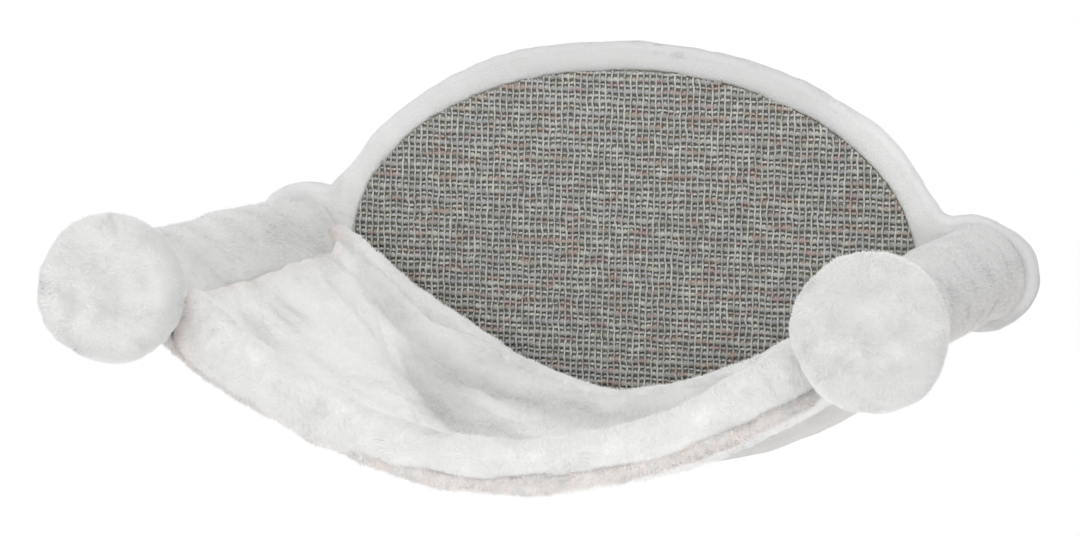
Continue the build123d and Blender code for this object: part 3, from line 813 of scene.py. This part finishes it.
# The section, as (distance in from the outline, share of the way on to the mat's edge, distance
# from the wall): from the mat's edge over the border, round the rim, over the turned-in margin,
# and back inside against the board
front, rim, back = cover["front"], cover["rim"], cover["back"]
arc = np.linspace(0, np.pi / 2, 7)
section = [(rim, 1, front - 4.2 * mm), (rim, 0.99, front - 2.4 * mm)]
section += [(rim, share, front + cover["crown"] * math.sin(math.pi * share) - cover["dip"] * share**8)
            for share in np.linspace(0.96, 0.06, 11)]
section += [(rim * (1 - math.sin(a)), 0, front - rim + rim * math.cos(a)) for a in arc]
rimRow = len(section)
section += [(rim * 0.5 * (1 - math.cos(a)), 0, back + rim * 0.5 * (1 - math.sin(a))) for a in arc]
marginRow = len(section)
section += [(reach * mm, 0, back) for reach in (8, 14, 20, 26, 30)]
insideRow = len(section)
section += [(reach * mm, share, level * mm) for reach, share, level in (
    (30, 0, 1.9), (20, 0, 1.9), (9, 0, 1.9), (5.5, 0, 3.5), (5.5, 0, 13), (9, 0, 14.1), (9, 0.97, 14.1))]
rings = []
for reach, share, level in section:
    flat = outline + inwards * reach
    flat = flat + share * (matEdge - flat)
    rings.append(placed(flat[:, 0], -level, flat[:, 1]))
grid = np.stack(rings)
normals = gridNormals(grid, ring=True)
lumps = puffed(grid, normals, cover["lumps"], cover["seed"])
grid[1:marginRow] = lumps[1:marginRow]
grid[..., 1] = np.minimum(grid[..., 1], -cover["wallGap"])        # its turned-over margin stays off the wall
# how thick the pile is: full on what shows, thin at the back and under the sleeves
outer = np.zeros(grid.shape[:2])
outer[1:rimRow], outer[rimRow:marginRow], outer[marginRow:insideRow] = 1, 0.3, 0.05
x, z = grid[..., 0], grid[..., 2]
underSleeve = np.hypot(np.abs(x) - postOffset, z) < 25 * mm
# painted shade on its pile: less on the left, but for the top of its ear, and less up to the neck and
# low on the right, where painted warm shade is added
leftward = ramp(-x, 40 * mm, 160 * mm)
shadePaint = 1.0 - 0.85 * leftward**1.5 + 0.4 * (leftward == 1) * ramp(z, 22 * mm, 12 * mm)
neckShare = bell(x - 180 * mm, 45 * mm) * ramp(z, 0, 30 * mm)
lowShare = ramp(x, 60 * mm, 60 * mm) * ramp(-z, 40 * mm, 40 * mm)
dressed("boardCover", ["board_cover"], grid, normals, cover["pile"], ring=True,
        weight=outer * np.where(underSleeve, 0.05, 1), tint=0.35 * lowShare,
        paintedShades=shadePaint - 0.6 * neckShare - 0.3 * lowShare)
print("board cover done")

# Sisal mat, woven from single yarns

# Each kind of weft is offset by a share of a row, and lies level in front of the mat's own. Where a
# warp yarn crosses it, it dips towards the board and sways down
sisal = dict(width=192.4 * mm, height=121.9 * mm, floor=14.2 * mm, level=16.2 * mm, rowStep=7.7 * mm,
             columnStep=4.25 * mm, edge=1 * mm, warp=0.68 * mm, warpLevel=0.6 * mm, warpWave=0.45 * mm,
             fibres=320, fibrePoints=8, seed=31)
wefts = dict(
    sisalWeft=dict(offset=0, radius=1.38 * mm, level=0.1 * mm, dip=0.3 * mm, sway=0.35 * mm, sides=6),
    sisalThinWeft=dict(offset=0.5, radius=0.9 * mm, level=-0.45 * mm, dip=0.2 * mm, sway=0.1 * mm, sides=4))
sisalRng = np.random.default_rng(sisal["seed"])
xWay, yWay, zWay = np.eye(3)


def yarns(name, threads, ways, count):
    # all yarns of one kind in one mesh. Each is a path and its radii, and becomes circles round the
    # path in the plane of the two ways, with a fan at both ends
    places, quads, tris, shade, first = [], [], [], [], 0
    turn = fullTurn(count).T
    ring = np.cos(turn) * ways[0] + np.sin(turn) * ways[1]
    for n, (path, radius) in enumerate(threads):
        tube = path[:, None] + radius[:, None, None] * ring[None]
        places += [tube.reshape(-1, 3), path[[0, -1]]]
        quads.append(gridFaces(len(path), count, first=first))
        tris.append(fanFaces(len(path), count, first))
        tone = soft(path + 0.37 * n, 17 * mm, 40) * 0.5 + 0.5
        shade += [np.repeat(tone, count), tone[[0, -1]]]
        first += len(path) * count + 2
    piece = newPiece(name, np.vstack(places), np.vstack(quads), np.vstack(tris))
    addValues(piece, "tone", np.concatenate(shade))
    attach(piece, "wall_body")
    return piece


def strand(offset, across, along, ragged, spacing, pitch):
    # places along a yarn in the mat's ellipse, at an offset from its middle and with ragged ends,
    # and the wave that the yarns across it give it
    reach = along * math.sqrt(1 - (offset / across) ** 2)
    start, end = -reach + sisalRng.uniform(0, ragged) * mm, reach - sisalRng.uniform(0, ragged) * mm
    run = np.linspace(start, end, max(int((end - start) / spacing), 4))
    return run, np.cos(2 * np.pi * run / pitch)


rowCount = int(sisal["height"] / sisal["rowStep"])
threads = {name: [] for name in wefts}
for n in range(-rowCount - 1, rowCount + 2):
    for name, weft in wefts.items():
        row = (n + weft["offset"]) * sisal["rowStep"]
        if abs(row) > sisal["height"] - sisal["edge"]:
            continue
        x, wave = strand(row, sisal["height"], sisal["width"], 1.6, 1.06 * mm, sisal["columnStep"])
        path = placed(x, -(sisal["level"] + (weft["level"] - weft["dip"] * wave)), row)
        path[:, 2] += 0.35 * mm * soft(path, 16 * mm, 50) + 0.1 * mm * sisalRng.normal(size=len(x))
        path[:, 2] -= weft["sway"] * wave
        size = weft["radius"] * (0.98 - 0.3 * wave + 0.2 * soft(path, 6 * mm, 60 + n))
        threads[name].append((path, size * (1 + 0.1 * sisalRng.normal(size=len(x)))))
thickWeft, thinWeft = [yarns(name, threads[name], (yWay, zWay), wefts[name]["sides"]) for name in wefts]

warpThreads = []
columnCount = int(sisal["width"] / sisal["columnStep"])
for n in range(-columnCount, columnCount + 1):
    column = n * sisal["columnStep"]
    if abs(column) > sisal["width"] - sisal["edge"]:
        continue
    z, wave = strand(column, sisal["width"], sisal["height"], 1.4, 1.2 * mm, sisal["rowStep"])
    path = placed(column, -(sisal["level"] + sisal["warpLevel"] + sisal["warpWave"] * wave), z)
    path[:, 0] += 0.3 * mm * soft(path, 14 * mm, 70) + 0.1 * mm * sisalRng.normal(size=len(z))
    warpThreads.append((path, sisal["warp"] * (1 + 0.2 * soft(path, 6 * mm, 80 + n))))
warp = yarns("sisalWarp", warpThreads, (xWay, yWay), 4)

# loose fibres that stand off the yarns, each a short bent arc in a random direction
fibreThreads = []
for n in range(sisal["fibres"]):
    turn, share = sisalRng.uniform(0, 2 * np.pi), math.sqrt(sisalRng.uniform(0, 0.93))
    way, length = sisalRng.uniform(0, np.pi), sisalRng.uniform(3, 13) * mm * (1 + (n % 20 == 0))
    bend = sisalRng.normal(0, 0.18)
    along = np.linspace(-0.5, 0.5, sisal["fibrePoints"])
    x = along * math.cos(way) - bend * along**2 * math.sin(way)
    z = along * math.sin(way) + bend * along**2 * math.cos(way)
    level = sisal["level"] + 1.35 * mm + sisalRng.uniform(0, 0.9) * mm * (1 - 3 * along**2)
    path = placed(share * sisal["width"] * math.cos(turn) + length * x, -level,
                  share * sisal["height"] * math.sin(turn) + length * z)
    fibreThreads.append((path, np.full(len(along), sisalRng.uniform(0.07, 0.12) * mm)))
fibres = yarns("sisalFibres", fibreThreads, (yWay, unit(xWay + zWay)), 3)

# The backing behind the yarns: a flat oval, whose last row goes back to the floor of the mat
turn = fullTurn(160)
share = np.array([0.0005, 0.25, 0.5, 0.75, 0.96, 1.0, 1.0])[:, None]
depth = sisal["floor"] + 0.7 * mm * (1 - np.array([0, 0, 0, 0, 0, 0, 1.0])[:, None])
grid = placed(share * sisal["width"] * np.cos(turn), -depth, share * sisal["height"] * np.sin(turn))
backing = newPiece("sisalBacking", grid.reshape(-1, 3), gridFaces(*grid.shape[:2])[:, ::-1])
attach(backing, "wall_body")
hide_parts("sisal_mat")


def sisalFinish(name, light, dark, fleck, tint):
    # grey yarn: slow changes along it between two greys, some lengths pink-brown, fine fibres as bump
    finish = Finish(name, Specular_IOR_Level=0.25, Sheen_Weight=0.1)
    wide = finish.stretched((0.35, 1, 1))
    colour = finish.between(finish.within(finish.value("tone"), 0.15, 0.85), dark, light)
    patches = finish.within(finish.noise(7 * mm, 2.0, 0.6, wide), 0.48, 0.56)
    colour = finish.between(patches * 0.5, colour, tint)
    pink = finish.within(finish.noise(5.5 * mm, 2.0, 0.5, wide), 0.57, 0.62)
    colour = finish.between(pink * 0.8, colour, fleck)
    fine = finish.noise(0.5 * mm, 3.0, 0.7)
    colour = finish.between(finish.within(fine, 0.35, 0.75) * 0.35, colour, (0.62, 0.61, 0.57))
    return finish.feed(Base_Color=colour, Roughness=0.75 + 0.2 * fine, Normal=finish.bump(fine, 0.25 * mm))


yarnGrey = sisalFinish("sisal yarn", light=(0.50, 0.505, 0.455), dark=(0.29, 0.29, 0.26),
                       fleck=(0.36, 0.25, 0.22), tint=(0.33, 0.345, 0.39))
warpGrey = sisalFinish("sisal warp", light=(0.66, 0.665, 0.62), dark=(0.44, 0.44, 0.41),
                       fleck=(0.48, 0.36, 0.32), tint=(0.47, 0.49, 0.53))
straw = sisalFinish("straw fibre", light=(0.74, 0.70, 0.60), dark=(0.55, 0.48, 0.36),
                    fleck=(0.70, 0.64, 0.55), tint=(0.8, 0.79, 0.75))
for piece, material in ((thickWeft, yarnGrey), (thinWeft, warpGrey), (warp, warpGrey), (fibres, straw)):
    wear(piece, material)
ground = Finish("sisal ground", Specular_IOR_Level=0.1)
dusk = ground.within(ground.noise(3 * mm, 3.0, 0.6), 0.35, 0.7)
wear(backing, ground.feed(Base_Color=ground.between(dusk, (0.24, 0.235, 0.205), (0.40, 0.39, 0.34)),
                          Roughness=0.9 + 0.05 * dusk, Normal=ground.bump(dusk, 0.4 * mm)))
print("sisal woven")

# Hard parts that stay as packed


def grained(name, grain, dark, light, rough, relief, span=(0.3, 0.7), stretch=None, smears=None,
            broad=None, **plain):
    # one grain of noise, as size, detail and roughness, runs from dark to light over its span, and
    # makes bumps. Rough is the least roughness and what the grain, or smears of their own, add to
    # it. Stretch scales the grain's directions, and broad is the colour of faint wide patches
    finish = Finish(name, **plain)
    fine = finish.noise(*grain, finish.stretched(stretch) if stretch else None)
    colour = finish.between(finish.within(fine, *span), dark, light)
    if broad:
        patches = finish.within(finish.noise(60 * mm, 3.0, 0.5), 0.35, 0.65)
        colour = finish.between(patches * 0.3, colour, broad)
    uneven = finish.noise(*smears) if smears else fine
    return finish.feed(Base_Color=colour, Roughness=rough[0] + rough[1] * uneven,
                       Normal=finish.bump(fine, relief))


hardFinishes = {
    "board_wood": grained("fibreboard", (0.9 * mm, 4.0, 0.7), (0.36, 0.235, 0.13), (0.53, 0.38, 0.235),
                          (0.7, 0.2), 0.15 * mm, broad=(0.42, 0.29, 0.175), Specular_IOR_Level=0.3),
    "plug_wood": grained("turned wood", (3 * mm, 4.0, 0.6), (0.50, 0.34, 0.19), (0.68, 0.51, 0.32),
                         (0.55, 0.25), 0.1 * mm, (0.35, 0.65), (1, 0.08, 1), Specular_IOR_Level=0.35),
    "tube_paper": grained("wound paper", (1.2 * mm, 4.0, 0.7), (0.40, 0.29, 0.19), (0.52, 0.40, 0.28),
                          (0.8, 0.15), 0.08 * mm, Specular_IOR_Level=0.25),
    "zinc_steel": grained("zinc steel", (1.5 * mm, 3.0, 0.6), (0.52, 0.53, 0.55), (0.70, 0.71, 0.72),
                          (0.22, 0.3), 0.02 * mm, smears=(9 * mm, 2.0, 0.5), Metallic=1.0),
    "wadding": grained("wadding", (6 * mm, 4.0, 0.7), (0.86, 0.86, 0.85), (0.93, 0.93, 0.92),
                       (0.9, 0.05), 2 * mm, (0, 1)),
    "plush": plushCloth, "sisal": yarnGrey}
for part in frame["record"]["subparts"]:
    wear(nodes[part["node"]], hardFinishes[part["material_slot"]])
print("hard parts finished")

# Floor, light and camera

# The floor glows a little, and fades to plain white between the two distances from its middle.
# Neither that nor the white of the world lights the object
floorSettings = dict(level=-0.60, radius=7.0, colour=(0.86, 0.86, 0.86), glow=0.5, fade=(1.0, 2.2))
white = (1, 1, 1)
turn = fullTurn(96)
share = np.array([0.001, 0.1, 0.3, 0.6, 1.0])[:, None]
spread = share * floorSettings["radius"]
grid = placed(spread * np.cos(turn), spread * np.sin(turn), floorSettings["level"])
floor = newPiece("floor", grid.reshape(-1, 3), gridFaces(*grid.shape[:2]))
floor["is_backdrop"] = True
paint = Finish("pale floor")
diffuse = paint.node("BsdfDiffuse", {"Color": floorSettings["colour"]})
glow = paint.node("Emission", {"Color": white, "Strength": floorSettings["glow"]})
lit = paint.node("AddShader", {0: diffuse, 1: glow})
far = paint.node("Emission", {"Color": white, "Strength": 1.0})
away = paint.node("VectorMath", {0: paint.object}, output="Value", operation="LENGTH")
farness = paint.within(away, *floorSettings["fade"])
faded = paint.node("MixShader", {0: farness, 1: lit, 2: far})
shown = paint.node("MixShader", {0: paint.seenDirectly(), 1: diffuse, 2: faded})
paint.plug(paint.tree.nodes["Material Output"].inputs["Surface"], shown)
wear(floor, paint.material)

world = bpy.data.worlds.new("studio")
bpy.context.scene.world = world
world.use_nodes = True
studio = NodeTree(world.node_tree)
fill = studio.node("Background", {"Color": (0.985, 0.99, 0.99), "Strength": 0.75})
plainWhite = studio.node("Background", {"Color": white, "Strength": 1.0})
sky = studio.node("MixShader", {0: studio.seenDirectly(), 1: fill, 2: plainWhite})
studio.plug(studio.tree.nodes["World Output"].inputs["Surface"], sky)

# Soft lamps: place, size, watts and colour
lamps = {
    "key": dict(place=(1.0, -1.7, 1.8), size=1.6, watts=23.5, colour=(1.0, 0.995, 0.98)),
    "front": dict(place=(-0.5, -1.7, 0.5), size=1.2, watts=3.5, colour=(1.0, 1.0, 1.0)),
    "low": dict(place=(0.1, -0.75, -0.5), size=0.4, watts=1.55, colour=(1.0, 0.995, 0.985)),
}
aim = Vector((0, -0.15, -0.02))
for name, lamp in lamps.items():
    data = bpy.data.lights.new(name, "AREA")
    data.shape, data.size, data.energy, data.color = "DISK", lamp["size"], lamp["watts"], lamp["colour"]
    shining = added(name, data)
    shining.location = lamp["place"]
    shining.rotation_euler = (aim - Vector(lamp["place"])).to_track_quat("-Z", "Y").to_euler()

# The camera stands to the right, a little above, far off with a long lens
view = dict(azimuth=17.916, elevation=6.863, roll=0.81, distance=2.52089, target=(-0.01733, -0.15, 0.00577),
            lens=134.508, sensor=36.0)
azimuth, elevation, roll = (math.radians(view[k]) for k in ("azimuth", "elevation", "roll"))
backwards = Vector((math.sin(azimuth) * math.cos(elevation), -math.cos(azimuth) * math.cos(elevation),
                    math.sin(elevation)))
rightwards = Vector((math.cos(azimuth), math.sin(azimuth), 0))
upwards = backwards.cross(rightwards)
turnedRight = rightwards * math.cos(roll) + upwards * math.sin(roll)
turnedUp = upwards * math.cos(roll) - rightwards * math.sin(roll)
cameraData = bpy.data.cameras.new("camera")
cameraData.lens, cameraData.sensor_width = view["lens"], view["sensor"]
camera = added("camera", cameraData)
camera.matrix_world = Matrix.Translation(Vector(view["target"]) + backwards * view["distance"]) @ Matrix(
    (turnedRight, turnedUp, backwards)).transposed().to_4x4()
bpy.context.scene.camera = camera
bpy.context.scene.view_settings.view_transform = "Standard"

triangles = sum(len(p.data.loops) - 2 * len(p.data.polygons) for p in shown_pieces() if p.type == "MESH")
print("triangles", triangles)
